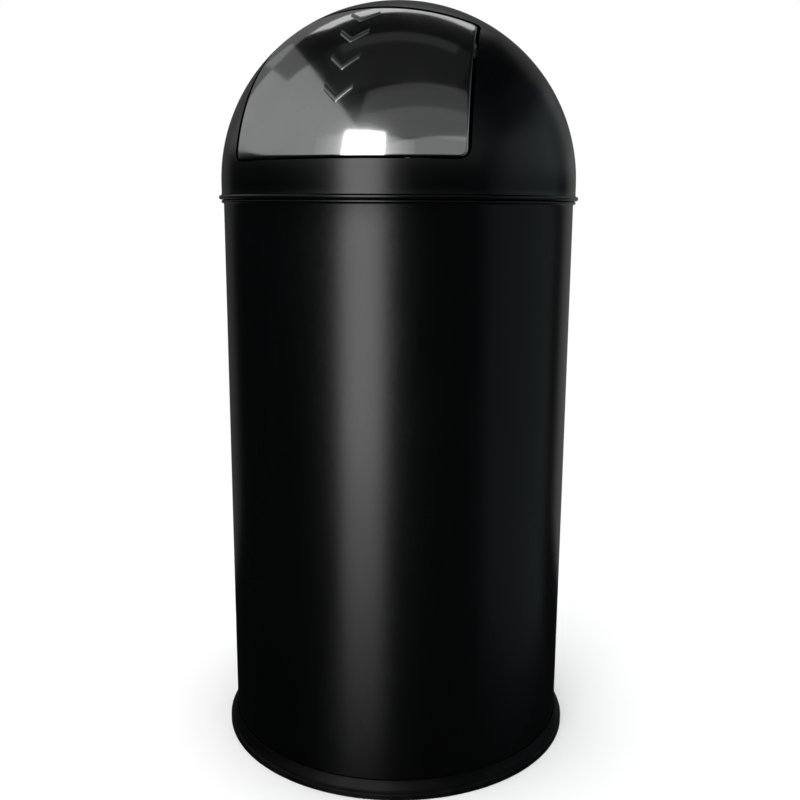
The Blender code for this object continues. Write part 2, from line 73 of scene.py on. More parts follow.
def outward(turn, rise, distance):
    """A point at a distance from the lid, turned from the camera and raised, in degrees."""
    heading = CAMERA_TURN + radians(turn)
    along = distance * cos(radians(rise))
    up = distance * sin(radians(rise))
    return LIGHT_CENTRE + Vector((along * sin(heading), -along * cos(heading), up))


camera = bpy.data.objects.new("camera", bpy.data.cameras.new("camera"))
scene.collection.objects.link(camera)
camera.data.lens = LENS
camera.data.sensor_width = 36.0
camera.data.shift_x = CENTRE_SHIFT
camera.data.clip_start = 0.01
camera_place = (CAMERA_DISTANCE * sin(CAMERA_TURN), -CAMERA_DISTANCE * cos(CAMERA_TURN), CAMERA_HEIGHT)
camera.matrix_world = (
    Matrix.Translation(camera_place)
    @ Matrix.Rotation(CAMERA_TURN, 4, "Z")
    @ Matrix.Rotation(pi / 2 - CAMERA_TILT, 4, "X")
    @ Matrix.Rotation(CAMERA_ROLL, 4, "Z"))
scene.camera = camera


def panel(name, place, facing, width, height, radiance, colour=(1.0, 1.0, 1.0), seen=True):
    """A rectangular soft light at a place, facing a point, with the radiance of its face."""
    data = bpy.data.lights.new(name, "AREA")
    data.shape = "RECTANGLE"
    data.size = width
    data.size_y = height
    data.energy = radiance * width * height * pi
    data.color = colour
    light = bpy.data.objects.new(name, data)
    scene.collection.objects.link(light)
    aim = (Vector(facing) - Vector(place)).to_track_quat("-Z", "Y")
    light.matrix_world = Matrix.Translation(place) @ aim.to_matrix().to_4x4()
    light.visible_camera = False
    light.visible_glossy = seen


def level_panel(name, turn, distance, low, high, left, right, radiance, colour=(1.0, 1.0, 1.0)):
    """An upright panel facing the bin, with its edges in degrees from its middle direction."""
    low, high, left, right = (distance * tan(radians(edge)) for edge in (low, high, left, right))
    heading = CAMERA_TURN + radians(turn)
    moved = Vector((cos(heading), sin(heading), 0.0)) * (left + right) / 2
    moved.z = (low + high) / 2
    panel(name, outward(turn, 0.0, distance) + moved, LIGHT_CENTRE + moved, right - left, high - low,
          radiance, colour)


level_panel("key_panel", KEY_TURN, KEY_DISTANCE, -22.0, 29.0, -KEY_HALF, KEY_HALF, 3.8)
level_panel("key_skirt", KEY_TURN, KEY_DISTANCE, -31.0, -22.0, -KEY_HALF, KEY_HALF, 2.1)
level_panel("key_hem", KEY_TURN, KEY_DISTANCE, -39.0, -31.0, -KEY_HALF, KEY_HALF, 0.9)
for step, radiance in enumerate((0.26, 0.20, 0.14, 0.09, 0.05)):
    near = KEY_HALF + GLOW_STEP * step
    far = near + GLOW_STEP
    level_panel(f"left_glow_{step}", KEY_TURN, KEY_DISTANCE, 12.0, 27.0, -far, -near, radiance)
    level_panel(f"right_glow_{step}", KEY_TURN, KEY_DISTANCE, 12.0, 27.0, near, far, 1.6 * radiance)
level_panel("far_right_glow", 25.0, 1.7, 12.0, 26.0, -36.0, 27.0, 0.24)
level_panel("low_front_glow", 12.0, 2.0, 26.0, 37.0, -40.0, 48.0, 0.105)
level_panel("middle_front_glow", 12.0, 2.0, 37.0, 45.0, -40.0, 48.0, 0.11)
level_panel("high_front_glow", 12.0, 2.0, 45.0, 57.0, -40.0, 48.0, 0.062)
level_panel("top_front_glow", 12.0, 2.0, 57.0, 61.0, -40.0, 48.0, 0.055)
level_panel("left_wall", -90.0, 1.5, 12.0, 53.5, -15.0, 62.0, 0.32)
level_panel("left_back_wall", -90.0, 1.5, 12.0, 43.0, -46.0, -15.0, 0.32)
level_panel("left_back_rise", -90.0, 1.5, 43.0, 53.5, -62.0, -15.0, 0.12)
level_panel("back_wall", 180.0, 2.2, 10.0, 44.0, -48.0, 42.0, 0.12)
level_panel("back_strip", 180.0, 2.2, 42.0, 53.0, -30.0, 30.0, 0.72)
level_panel("back_foot_left", 180.0, 2.2, -32.0, 10.0, 0.0, 48.0, 0.09)
level_panel("back_foot_right", 180.0, 2.2, -32.0, 10.0, -48.0, 0.0, 0.20)
level_panel("right_wall", 85.0, 1.8, -36.0, 4.0, -30.0, 30.0, 0.14, COOL_WHITE)
level_panel("right_glow", 85.0, 1.8, 4.0, 24.0, -28.0, 28.0, 0.17, (0.88, 0.97, 1.0))
level_panel("right_high_glow", 90.0, 1.8, 24.0, 42.0, -32.0, 32.0, 0.04, (0.88, 0.97, 1.0))
level_panel("right_rise", 108.0, 1.8, 4.0, 28.0, -38.0, 38.0, 0.14, COOL_WHITE)
panel("ceiling_strip", outward(0.0, 96.0, 2.0), LIGHT_CENTRE, 1.7, 0.30, 0.022)
panel("ceiling_glow", outward(0.0, 80.0, 2.2), LIGHT_CENTRE, 2.6, 1.6, 0.008)
panel("overhead", (0.0, 0.0, 3.0), (0.0, 0.0, 0.0), 5.0, 5.0, 2.6, seen=False)

class Signal:
    """One socket of a shader node. Sums written with it add Math nodes."""

    def __init__(self, tree, socket=None):
        self.tree = tree
        self.socket = socket

    def node(self, kind, settings=None, inputs=None, output=0):
        """Add any node: its settings first, then the values or links of its sockets."""
        made = self.tree.nodes.new(kind)
        for name, value in (settings or {}).items():
            setattr(made, name, value)
        for name, value in (inputs or {}).items():
            if isinstance(value, Signal):
                self.tree.links.new(value.socket, made.inputs[name])
            else:
                made.inputs[name].default_value = value
        return Signal(self.tree, made.outputs[output])

    def maths(self, operation, *values):
        """Add a Math node."""
        return self.node("ShaderNodeMath", {"operation": operation}, dict(enumerate(values)))

    def __add__(self, other):
        return self.maths("ADD", self, other)

    def __mul__(self, other):
        return self.maths("MULTIPLY", self, other)

    def __sub__(self, other):
        return self.maths("SUBTRACT", self, other)

    def __rsub__(self, other):
        return self.maths("SUBTRACT", other, self)

    __radd__ = __add__
    __rmul__ = __mul__

    def between(self, low, high):
        """0 below low and 1 above high, with a soft ramp between."""
        return self.node("ShaderNodeMapRange", {"interpolation_type": "SMOOTHSTEP"},
                         {"Value": self, "From Min": low, "From Max": high})

    def tint(self, dark, light):
        """A colour that goes from dark to light as this value goes from 0 to 1."""
        return self.node("ShaderNodeMix", {"data_type": "RGBA"},
                         {"Factor": self, 6: (*dark, 1.0), 7: (*light, 1.0)}, 2)


class Finish:
    """A Principled material. Plain values sit on the shader's own sockets."""

    def __init__(self, name, **plain):
        self.material = bpy.data.materials.new(name)
        self.material.use_nodes = True
        self.tree = self.material.node_tree
        self.shader = self.tree.nodes["Principled BSDF"]
        for socket, value in plain.items():
            self.shader.inputs[socket.replace("_", " ")].default_value = value
        self.start = Signal(self.tree)
        self.place = self.start.node("ShaderNodeTexCoord", output=3)

    def spots(self, scale, detail=2.0, roughness=0.5, stretch=None):
        """Noise in the piece's own metres, with this many cells to the metre."""
        place = self.place
        if stretch:
            place = self.start.node("ShaderNodeVectorMath", {"operation": "MULTIPLY"},
                                    {0: place, 1: stretch})
        return self.start.node("ShaderNodeTexNoise", None, {
            "Vector": place, "Scale": scale, "Detail": detail, "Roughness": roughness})

    def axis(self, letter):
        """One of the piece's own coordinates, in metres."""
        return self.start.node("ShaderNodeSeparateXYZ", None, {0: self.place}, "XYZ".index(letter))

    def feed(self, **links):
        """Link what varies over the surface to the shader's sockets."""
        for socket, signal in links.items():
            self.tree.links.new(signal.socket, self.shader.inputs[socket.replace("_", " ")])

    def bump(self, height, depth, strength):
        """Feed the shader's Normal from a height of 0 to 1 that stands for a depth in metres."""
        self.feed(Normal=self.start.node("ShaderNodeBump", None, {
            "Height": height, "Distance": depth, "Strength": strength}))

    def under(self, share, upper):
        """Mix another shader over this one, by a share of 0 to 1."""
        both = self.start.node("ShaderNodeMixShader", None, {
            0: share, 1: Signal(self.tree, self.shader.outputs["BSDF"]), 2: upper})
        self.tree.links.new(both.socket, self.tree.nodes["Material Output"].inputs["Surface"])


world = bpy.data.worlds.new("studio")
scene.world = world
world.use_nodes = True
world.node_tree.nodes.clear()
sky = Signal(world.node_tree)
surround = sky.node("ShaderNodeBackground", None,
                    {"Color": (0.055, 0.058, 0.062, 1.0), "Strength": 0.10})
backdrop = sky.node("ShaderNodeBackground", None, {"Color": (1.0, 1.0, 1.0, 1.0)})
seen_directly = sky.node("ShaderNodeLightPath")
both_skies = sky.node("ShaderNodeMixShader", None, {0: seen_directly, 1: surround, 2: backdrop})
world_out = world.node_tree.nodes.new("ShaderNodeOutputWorld")
world.node_tree.links.new(both_skies.socket, world_out.inputs["Surface"])

FLOOR_RADIUS = 12.0
FADE_START = 0.20
FADE_END = 0.75
floor_paint = Finish("pale_floor", Base_Color=(0.90, 0.90, 0.90, 1.0), Roughness=0.9)
from_bin = floor_paint.start.node("ShaderNodeVectorMath", {"operation": "LENGTH"},
                                  {0: floor_paint.place}, 1)
floor_paint.under(from_bin.between(FADE_START, FADE_END), floor_paint.start.node("ShaderNodeEmission"))
floor_mesh = bpy.data.meshes.new("floor")
floor_bm = bmesh.new()
bmesh.ops.create_circle(floor_bm, cap_ends=True, segments=96, radius=FLOOR_RADIUS)
floor_bm.to_mesh(floor_mesh)
floor_bm.free()
floor_mesh.materials.append(floor_paint.material)
floor = bpy.data.objects.new("floor", floor_mesh)
scene.collection.objects.link(floor)
floor.visible_glossy = False
floor.visible_shadow = False


# ---- Foot ring -------------------------------------------------------------------------
# A flared ring of black moulded rubber that the drum is pushed into. It keeps the steel off
# the floor. A shallow groove divides the flare from its upright edge, and grit dulls it.
def smooth(mesh, angle=35.0):
    """Shade a mesh smooth, apart from its real corners."""
    mesh.shade_smooth()
    mesh.set_sharp_from_angle(angle=radians(angle))


def bend(radius, start, end, steps, centre, rise=None):
    """Points of an arc, or of an ellipse's arc, from start to end in degrees."""
    points = []
    for i in range(steps + 1):
        angle = radians(start + (end - start) * i / steps)
        points.append((centre[0] + radius * cos(angle), centre[1] + (rise or radius) * sin(angle)))
    return points


def show(name, mesh, finish, body, slot, *nodes):
    """Put a finished piece in the scene, riding on its body in place of its CAD nodes."""
    piece = bpy.data.objects.new(name, mesh)
    scene.collection.objects.link(piece)
    mesh.materials.clear()
    mesh.materials.append(finish.material)
    if body:
        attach(piece, body)
    if nodes:
        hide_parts(*nodes)
    return piece


WELD_DISTANCE = 0.000002


def spun_mesh(name, outline, steps=192):
    """Spin a closed (radius, height) outline round the bin's axis."""
    bm = bmesh.new()
    verts = [bm.verts.new((radius, 0.0, height)) for radius, height in outline]
    first = 1 if outline[0][0] == 0.0 else 0
    edges = [bm.edges.new((verts[i - 1], verts[i])) for i in range(first, len(verts))]
    bmesh.ops.spin(bm, geom=verts + edges, cent=(0, 0, 0), axis=(0, 0, 1), angle=2 * pi,
                   steps=steps, use_duplicate=False)
    bmesh.ops.remove_doubles(bm, verts=bm.verts[:], dist=WELD_DISTANCE)
    bmesh.ops.recalc_face_normals(bm, faces=bm.faces[:])
    mesh = bpy.data.meshes.new(name)
    bm.to_mesh(mesh)
    bm.free()
    smooth(mesh)
    return mesh


rubber = Finish("black_rubber", Specular_IOR_Level=0.18)
grit = rubber.spots(900.0, 3.0)
near_floor = 1 - rubber.axis("Z").between(0.0, 0.016)
floor_dust = near_floor * rubber.spots(70.0, 4.0).between(0.35, 0.75)
pale = floor_dust * 0.45 + grit * 0.15
rubber.feed(
    Base_Color=pale.tint((0.0005, 0.0006, 0.0007), (0.0065, 0.0064, 0.0062)),
    Roughness=rubber.spots(40.0).between(0.2, 0.8) * 0.12 + 0.42)
rubber.bump(grit, 0.00008, 0.6)

RING_BORE = 0.1823
RING_INSIDE = 0.1710
RING_SEAT = 0.0050
RING_ROUND = 0.0010
ring_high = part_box("foot_ring")[1]
ring_side = ring_high.x
ring_lip = [
    (RING_BORE + 0.0002, ring_high.z - 0.0002),
    (RING_BORE + 0.0007, ring_high.z),
    (RING_BORE + 0.0012, ring_high.z - 0.0003)]
ring_flare = [(0.1838, 0.0160), (0.1844, 0.0142), (0.1853, 0.0122), (0.1864, 0.0101), (0.1872, 0.0089)]
ring_groove = [(0.1874, 0.0081), (0.1873, 0.0076), (0.1876, 0.0072), (0.1886, 0.0069)]
ring_edge = [
    *bend(RING_ROUND, 80, 0, 6, (ring_side - RING_ROUND, 0.0052)),
    (ring_side, 0.0045),
    (ring_side, 0.0018),
    *bend(RING_ROUND, 0, -80, 6, (ring_side - RING_ROUND, RING_ROUND))]
ring_foot = [
    (RING_INSIDE + 0.0010, 0.0),
    (RING_INSIDE, 0.0008),
    (RING_INSIDE, RING_SEAT),
    (RING_BORE, RING_SEAT)]
ring_outline = ring_lip + ring_flare + ring_groove + ring_edge + ring_foot
show("ring_moulding", spun_mesh("ring_moulding", ring_outline), rubber, "bin", "rubber_black",
     "foot_ring")


# ---- Drum ------------------------------------------------------------------------------
# Steel sheet rolled into a tube and butt-welded down the back, with its top edge rolled
# outwards into a bead. It is powder coated satin black, with the coat's fine orange peel.
def black_coat(name, gloss=0.26):
    """Satin black powder coat: an even coat with orange peel, wiped by hands and cloths."""
    coat = Finish(name, Specular_IOR_Level=0.5)
    peel = coat.spots(420.0, 2.0)
    grain = coat.spots(2600.0, 1.0)
    wiped = coat.spots(9.0, 4.0, 0.6, (1.0, 1.0, 0.35)).between(0.30, 0.72)
    tone = wiped * 0.5 + grain * 0.5
    coat.feed(
        Base_Color=tone.tint((0.0003, 0.0004, 0.0005), (0.0010, 0.0012, 0.0014)),
        Roughness=wiped * 0.045 + grain * 0.03 + (gloss - 0.035))
    coat.bump(peel * 0.7 + grain * 0.3, 0.00009, 0.5)
    return coat


drum_coat = black_coat("drum_powder_coat")
drum_low, drum_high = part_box("body_shell")
DRUM_RADIUS = 0.182
DRUM_SHEET = 0.001
BEAD = 0.0016
WALL_TOP = drum_high.z - 0.0042
WALL_ROWS = 16
WALL_LENGTH = 0.56
bead_centre = (drum_high.x - BEAD, drum_high.z - BEAD)
drum_outline = [
    (DRUM_RADIUS - 0.0003, drum_high.z - 0.0001),
    *bend(BEAD, 100, -100, 14, bead_centre),
    (DRUM_RADIUS + 0.0003, WALL_TOP + 0.0006)]
drum_outline += [(DRUM_RADIUS, WALL_TOP - WALL_LENGTH * i / WALL_ROWS) for i in range(WALL_ROWS + 1)]
drum_outline += [
    (DRUM_RADIUS, drum_low.z),
    (DRUM_RADIUS - DRUM_SHEET, drum_low.z),
    (DRUM_RADIUS - DRUM_SHEET, drum_high.z - 0.0010),
    (DRUM_RADIUS - 0.0007, drum_high.z - 0.0003)]
show("drum_sheet", spun_mesh("drum_sheet", drum_outline), drum_coat, "bin", "black_coat",
     "body_shell")

SEAM_WIDTH = 0.0045
SEAM_RISE = 0.00030
SEAM_SINK = 0.0004
SEAM_ROWS = 40
SEAM_STRIPS = 8
seam_foot = drum_low.z + 0.018
seam_length = drum_high.z - 0.0045 - seam_foot
seam_bm = bmesh.new()
seam_rows = []
for i in range(SEAM_ROWS + 1):
    row = []
    for j in range(SEAM_STRIPS + 1):
        across = 2 * j / SEAM_STRIPS - 1
        turn = across * SEAM_WIDTH / 2 / DRUM_RADIUS
        radius = DRUM_RADIUS + SEAM_RISE * cos(across * pi / 2) - 0.00002
        level = seam_foot + seam_length * i / SEAM_ROWS
        row.append(seam_bm.verts.new((radius * sin(turn), radius * cos(turn), level)))
    seam_rows.append(row)
for low_row, high_row in zip(seam_rows, seam_rows[1:]):
    for j in range(SEAM_STRIPS):
        seam_bm.faces.new((low_row[j], high_row[j], high_row[j + 1], low_row[j + 1]))
(foot_left, foot_right), (top_left, top_right) = [
    [seam_bm.verts.new((row[j].co.x, DRUM_RADIUS - SEAM_SINK, row[j].co.z)) for j in (0, SEAM_STRIPS)]
    for row in (seam_rows[0], seam_rows[-1])]
seam_bm.faces.new((*seam_rows[0], foot_right, foot_left))
seam_bm.faces.new((*reversed(seam_rows[-1]), top_left, top_right))
seam_bm.faces.new((foot_left, foot_right, top_right, top_left))
seam_bm.faces.new([row[0] for row in reversed(seam_rows)] + [foot_left, top_left])
seam_bm.faces.new([row[-1] for row in seam_rows] + [top_right, foot_right])
bmesh.ops.recalc_face_normals(seam_bm, faces=seam_bm.faces[:])
seam_mesh = bpy.data.meshes.new("drum_weld_seam")
seam_bm.to_mesh(seam_mesh)
seam_bm.free()
smooth(seam_mesh, 50.0)
show("drum_weld_seam", seam_mesh, drum_coat, "bin", "black_coat")


# ---- Base pan --------------------------------------------------------------------------
# A pressed steel floor, with its edge turned down and welded inside the drum, under the
# inner bucket. A shallow ring is pressed into it so that the thin sheet stays flat.
pan_low, pan_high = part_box("base_pan")
PAN_SHEET = 0.001
PAN_ROUND = 0.003
PRESSED_RING = (0.060, 0.080)
PRESSED_SLOPE = 0.002
PRESSED_DEPTH = 0.0008
pan_edge = pan_high.x
pan_top = [
    (0.0, pan_high.z),
    (PRESSED_RING[0], pan_high.z),
    (PRESSED_RING[0] + PRESSED_SLOPE, pan_high.z - PRESSED_DEPTH),
    (PRESSED_RING[1] - PRESSED_SLOPE, pan_high.z - PRESSED_DEPTH),
    (PRESSED_RING[1], pan_high.z),
    (pan_edge - PAN_ROUND, pan_high.z)]
pan_outline = pan_top + bend(PAN_ROUND, 75, 0, 6, (pan_edge - PAN_ROUND, pan_high.z - PAN_ROUND)) + [
    (pan_edge, pan_low.z),
    (pan_edge - PAN_SHEET, pan_low.z),
    (pan_edge - PAN_SHEET, pan_high.z - PAN_ROUND),
    (pan_edge - PAN_ROUND, pan_high.z - PAN_SHEET)]
pan_outline += [(radius, level - PAN_SHEET) for radius, level in reversed(pan_top[:-1])]
show("pressed_floor", spun_mesh("pressed_floor", pan_outline), black_coat("floor_powder_coat", 0.42),
     "bin", "black_coat", "base_pan")


# ---- Inner bucket ----------------------------------------------------------------------
# A tapered bucket of galvanised sheet that takes the rubbish and lifts out by its handle.
# The rim is rolled over a wire, and two swaged rings stiffen the wall. The zinc has set in
# flat crystals.
def zinc(name, crystals=90.0):
    """Hot-dip zinc: crystals that each take the light their own way, under a dull film."""
    coat = Finish(name, Metallic=0.8)
    cells = coat.start.node("ShaderNodeTexVoronoi", None,
                            {"Vector": coat.place, "Scale": crystals}, 1)
    facet = coat.start.node("ShaderNodeSeparateColor", None, {0: cells}, 0)
    film = coat.spots(24.0, 5.0, 0.65).between(0.28, 0.75)
    coat.feed(
        Base_Color=(facet * 0.55 + film * 0.45).tint((0.30, 0.315, 0.325), (0.56, 0.575, 0.585)),
        Roughness=facet * 0.14 + film * 0.12 + 0.30)
    coat.bump(facet * 0.5 + coat.spots(500.0, 3.0) * 0.5, 0.00006, 0.5)
    return coat


bucket_zinc = zinc("bucket_zinc")
bucket_low, bucket_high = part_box("liner_bucket")
BUCKET_TOP = 0.170
BUCKET_FOOT = 0.164
BUCKET_SHEET = 0.001
BUCKET_CORNER = 0.005
ROLL = 0.0025
SWAGES = (0.485, 0.470)
SWAGE_HALF = 0.005
SWAGE_RISE = 0.0012


def bucket_wall(level):
    """Outside radius of the bucket's tapered wall, with its two swaged rings."""
    share = (level - bucket_low.z) / (bucket_high.z - bucket_low.z)
    radius = BUCKET_FOOT + (BUCKET_TOP - BUCKET_FOOT) * share
    for swage in SWAGES:
        if abs(level - swage) < SWAGE_HALF:
            radius += SWAGE_RISE * (1 + cos(pi * (level - swage) / SWAGE_HALF)) / 2
    return radius


wall_levels = [0.5385, 0.530, 0.520, 0.505]
wall_levels += [0.492 - 0.001 * i for i in range(30)]
wall_levels += [0.46 - 0.43 * i / 10 for i in range(1, 11)]
bucket_outside = [(bucket_wall(level), level) for level in wall_levels]
corner_centre = (BUCKET_FOOT - BUCKET_CORNER, bucket_low.z + BUCKET_CORNER)
bucket_outline = [
    (0.0, bucket_low.z + BUCKET_SHEET),
    (BUCKET_FOOT - 0.006, bucket_low.z + BUCKET_SHEET),
    *bend(BUCKET_CORNER - BUCKET_SHEET, -80, -5, 6, corner_centre)]
bucket_outline += [(radius - BUCKET_SHEET, level) for radius, level in reversed(bucket_outside)]
bucket_outline += [
    (BUCKET_TOP - BUCKET_SHEET, bucket_high.z - 0.002),
    (BUCKET_TOP - 0.0002, bucket_high.z - 0.0002),
    *bend(ROLL, 100, -140, 16, (bucket_high.x - ROLL, bucket_high.z - ROLL))]
bucket_outline += bucket_outside
bucket_outline += bend(BUCKET_CORNER, 0, -85, 6, corner_centre)
bucket_outline += [(0.0, bucket_low.z)]
show("inner_bucket", spun_mesh("inner_bucket", bucket_outline), bucket_zinc, "bin", "galvanised",
     "liner_bucket")

for side in ("left", "right"):
    for node in (f"liner_ear_{side}", f"ear_rivet_{side}_1", f"ear_rivet_{side}_2"):
        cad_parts[node].material_slots[0].material = bucket_zinc.material


# ---- Bucket handle ---------------------------------------------------------------------
# A bail of galvanised wire with its ends hooked through the two ears. It is shallower than
# a half circle, so that it swings right over inside the bucket and under the closed lid.
handle_low, handle_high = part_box("liner_handle")
BAIL_WIRE = (handle_high.z - handle_low.z) / 2
BAIL_LEVEL = (handle_high.z + handle_low.z) / 2
BAIL_BEND = 0.004
BAIL_SWEEP = 0.172
BAIL_REACH = handle_high.y - BAIL_WIRE


def finished_mesh(blank):
    """The mesh of an object with its modifiers applied. The object itself is removed."""
    ready = blank.evaluated_get(bpy.context.evaluated_depsgraph_get())
    mesh = bpy.data.meshes.new_from_object(ready)
    bpy.data.objects.remove(blank)
    return mesh


def tube_mesh(name, points, radius, sides=4):
    """A round wire along points, as a closed mesh."""
    curve = bpy.data.curves.new(name, "CURVE")
    curve.dimensions = "3D"
    curve.bevel_depth = radius
    curve.bevel_resolution = sides
    curve.use_fill_caps = True
    spline = curve.splines.new("POLY")
    spline.points.add(len(points) - 1)
    for point, at in zip(spline.points, points):
        point.co = (*at, 1.0)
    guide = bpy.data.objects.new(name, curve)
    scene.collection.objects.link(guide)
    mesh = finished_mesh(guide)
    bm = bmesh.new()
    bm.from_mesh(mesh)
    bmesh.ops.remove_doubles(bm, verts=bm.verts[:], dist=WELD_DISTANCE)
    bm.to_mesh(mesh)
    bm.free()
    smooth(mesh, 40.0)
    return mesh


bail_end = [(handle_high.x, 0.0), (BAIL_SWEEP + BAIL_BEND + 0.001, 0.0)]
bail_end += bend(BAIL_BEND, -90, -178, 8, (BAIL_SWEEP + BAIL_BEND, BAIL_BEND))
bail_path = bail_end + bend(BAIL_SWEEP, 2.0, 178.0, 90, (0.0, 0.0), BAIL_REACH)
bail_path += [(-x, y) for x, y in reversed(bail_end)]
bail_mesh = tube_mesh("bail_wire", [(x, y, BAIL_LEVEL) for x, y in bail_path], BAIL_WIRE)
show("bail_wire", bail_mesh, bucket_zinc, "handle", "galvanised", "liner_handle")


# ---- Lid -------------------------------------------------------------------------------
# A dome spun from steel sheet, with a short upright skirt whose edge is rolled outwards to
# sit on the drum's bead. The flap's opening is cut out of it. It has the drum's black coat.
lid_coat = black_coat("lid_powder_coat", 0.25)
lid_low, lid_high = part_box("lid_dome")
DOME_RADIUS = 0.184
DOME_SPRING = 0.5945
DOME_SHEET = 0.001
FLAP_BOTTOM = 0.6145
FLAP_SIDE = 0.0875
FLAP_SPREAD = 0.188
FLAP_TOP = 0.740
FLAP_TOP_FRONT = 0.049
FLAP_TOP_SLOPE = 0.5
FLAP_GAP = 0.002
LOW_CORNER = 0.009
HIGH_CORNER = 0.005
WEDGE_ENDS = (0.030, 0.200)
FLANGE_TOP = 0.5825
dome_rise = lid_high.z - DOME_SPRING


def flap_section(front, grow, steps=8):
    """The flap's outline at one distance in front of the axis, moved out by grow."""
    half = FLAP_SIDE + FLAP_SPREAD * front + grow / cos(atan(FLAP_SPREAD))
    low = FLAP_BOTTOM - grow
    high = FLAP_TOP + FLAP_TOP_SLOPE * (front - FLAP_TOP_FRONT) + grow / cos(atan(FLAP_TOP_SLOPE))
    low_round = LOW_CORNER + grow
    high_round = HIGH_CORNER + grow
    points = bend(low_round, -90, 0, steps, (half - low_round, low + low_round))
    points += bend(high_round, 0, 90, steps, (half - high_round, high - high_round))
    points += [(-x, z) for x, z in reversed(points)]
    return [Vector((x, -front, z)) for x, z in points]


def opening_block(name):
    """The wedge that the flap's opening is cut with."""
    bm = bmesh.new()
    loops = []
    for front in WEDGE_ENDS:
        verts = [bm.verts.new(point) for point in flap_section(front, FLAP_GAP)]
        loops += [bm.edges.new((verts[i - 1], verts[i])) for i in range(len(verts))]
    bmesh.ops.bridge_loops(bm, edges=loops)
    bmesh.ops.holes_fill(bm, edges=bm.edges[:])
    bmesh.ops.recalc_face_normals(bm, faces=bm.faces[:])
    mesh = bpy.data.meshes.new(name)
    bm.to_mesh(mesh)
    bm.free()
    block = bpy.data.objects.new(name, mesh)
    scene.collection.objects.link(block)
    return block


lid_bead = (FLANGE_TOP - lid_low.z) / 2
lid_outline = bend(DOME_RADIUS, 90, 0, 56, (0.0, DOME_SPRING), dome_rise)
lid_outline[0] = (0.0, lid_outline[0][1])
lid_outline += [(DOME_RADIUS, 0.5882), (DOME_RADIUS, 0.5850), (DOME_RADIUS + 0.0002, 0.5836)]
lid_outline += bend(lid_bead, 100, -100, 14, (lid_high.x - lid_bead, lid_low.z + lid_bead))
lid_outline += [(DOME_RADIUS - DOME_SHEET, lid_low.z)]
lid_inside = bend(DOME_RADIUS - DOME_SHEET, 0, 90, 56, (0.0, DOME_SPRING), dome_rise - DOME_SHEET)
lid_inside[-1] = (0.0, lid_inside[-1][1])
lid_blank = bpy.data.objects.new("lid_blank", spun_mesh("lid_blank", lid_outline + lid_inside))
scene.collection.objects.link(lid_blank)
cut_block = opening_block("opening_block")
cut = lid_blank.modifiers.new("opening", "BOOLEAN")
cut.operation = "DIFFERENCE"
cut.solver = "EXACT"
cut.object = cut_block
lid_mesh = finished_mesh(lid_blank)
bpy.data.objects.remove(cut_block)
smooth(lid_mesh)
show("spun_dome", lid_mesh, lid_coat, "lid", "black_coat", "lid_dome")


# ---- Lid collar ------------------------------------------------------------------------
# A ring of rolled sheet, welded inside the skirt and joggled inwards, that drops inside the
# drum and keeps the lid from sliding off sideways.
collar_low, collar_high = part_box("lid_collar")
COLLAR_RADIUS = 0.1804
COLLAR_SHEET = 0.001
collar_outline = [
    (collar_high.x, collar_high.z),
    (collar_high.x, 0.5838),
    (collar_high.x - 0.0004, 0.5830),
    (COLLAR_RADIUS + 0.0003, 0.5814),
    (COLLAR_RADIUS, 0.5806),
    (COLLAR_RADIUS, collar_low.z + 0.002),
    (COLLAR_RADIUS - 0.0003, collar_low.z + 0.0004),
    (COLLAR_RADIUS - COLLAR_SHEET + 0.0001, collar_low.z),
    (COLLAR_RADIUS - COLLAR_SHEET, 0.5812),
    (collar_high.x - COLLAR_SHEET, 0.5844),
    (collar_high.x - COLLAR_SHEET, collar_high.z)]
show("centring_collar", spun_mesh("centring_collar", collar_outline), lid_coat, "lid",
     "black_coat", "lid_collar")


# ---- Hinge -----------------------------------------------------------------------------
# The flap turns on a bright steel rod held in two brackets that are welded under the dome.
# Push-on caps keep the rod in, and nylon bushes line the eyes of the flap's lugs.
def drawn_steel(name, dark, light, shine):
    """Steel wire or bar with fine draw marks along X and a trace of oil."""
    bare = Finish(name, Metallic=1.0)
    marks = bare.spots(900.0, 3.0, 0.6, (0.03, 1.0, 1.0))
    oil = bare.spots(60.0, 3.0)
    bare.feed(Base_Color=(marks * 0.6 + oil * 0.4).tint(dark, light),
              Roughness=marks * 0.12 + oil * 0.06 + shine)
    bare.bump(marks, 0.00003, 0.5)
    return bare


rod_steel = drawn_steel("bright_rod_steel", (0.42, 0.42, 0.42), (0.66, 0.66, 0.65), 0.14)
spring_wire = drawn_steel("spring_wire", (0.20, 0.20, 0.205), (0.40, 0.40, 0.40), 0.22)
nylon = Finish("natural_nylon", Specular_IOR_Level=0.45)
nylon.feed(Base_Color=nylon.spots(120.0, 3.0).tint((0.60, 0.585, 0.53), (0.72, 0.71, 0.66)),
           Roughness=nylon.spots(300.0).between(0.2, 0.8) * 0.15 + 0.42)
nylon.bump(nylon.spots(800.0), 0.00003, 0.4)

dressed = {"hinge_rod": rod_steel}
for side in ("left", "right"):
    dressed[f"hinge_bracket_{side}"] = lid_coat
    dressed[f"rod_clip_{side}"] = spring_wire
    dressed[f"hinge_bush_{side}"] = nylon
    dressed[f"stop_pad_{side}"] = rubber
